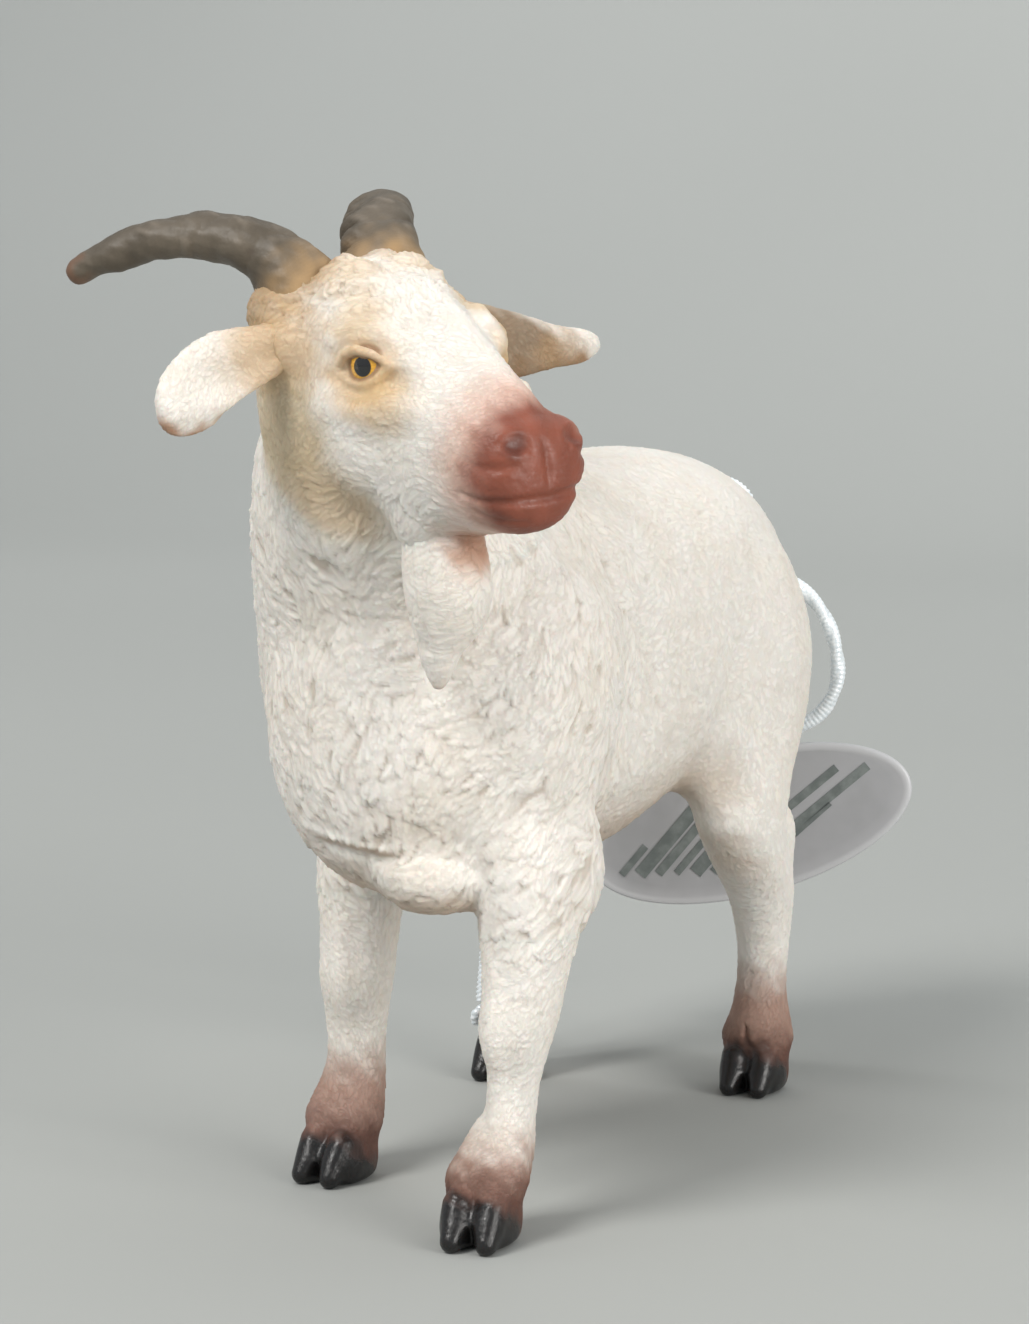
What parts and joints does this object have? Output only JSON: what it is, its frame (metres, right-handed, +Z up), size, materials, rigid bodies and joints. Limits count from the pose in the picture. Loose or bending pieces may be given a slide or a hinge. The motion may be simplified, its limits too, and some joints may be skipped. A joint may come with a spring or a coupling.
{
  "type": "toy goat figurine",
  "caption": "Moulded, hand-painted white billy goat figurine standing with its head turned to its left, with an oval swing tag on a satin cord tied round its tail.",
  "frame": {"origin": "on the floor, below the middle of the figure's outline box, the cord and the tag left out", "axes": "+Z up, the goat's body faces -Y, its left side is +X"},
  "size_m": [0.046, 0.1024, 0.0876],
  "materials": {
    "coat_body": "moulded hair under creamy white paint with a thin warm wash in the hollows",
    "coat_head": "creamy white paint with tan and brick-brown airbrushed shading",
    "horn": "grey-brown paint, satin, worn lighter on the ridges",
    "leg": "creamy white fading through brown at the pasterns to glossy black hooves",
    "satin_cord": "twisted silvery white satin cord",
    "tag_film": "thin translucent grey sheet with a smooth cut edge",
    "tag_print": "sticker with plain dark stripes of different widths"
  },
  "bodies": {
    "figure": {"torso": "coat_body", "head": "coat_head", "left_horn": "horn", "right_horn": "horn", "left_ear": "coat_head", "right_ear": "coat_head", "beard": "coat_head", "tail": "coat_body", "front_left_leg": "leg", "front_right_leg": "leg", "rear_left_leg": "leg", "rear_right_leg": "leg", "tail_hitch": "satin_cord", "tag_cord": "satin_cord", "spare_cord": "satin_cord", "spare_cord_knot": "satin_cord"},
    "tie": {"tag_tie": "satin_cord"},
    "tag": {"tag_card": "tag_film", "tag_label": "tag_print"}
  },
  "joints": [
    {"name": "tag_swing", "type": "hinge", "parent": "figure", "child": "tie", "pos_m": [0.00491, 0.04636, 0.0326], "axis": [0.9659, 0.2588, 0], "range_deg": [-10, 40]},
    {"name": "tag_twist", "type": "hinge", "parent": "tie", "child": "tag", "pos_m": [0.00491, 0.04636, 0.028], "axis": [0, 0, 1], "range_deg": [-32, 8]}
  ]
}
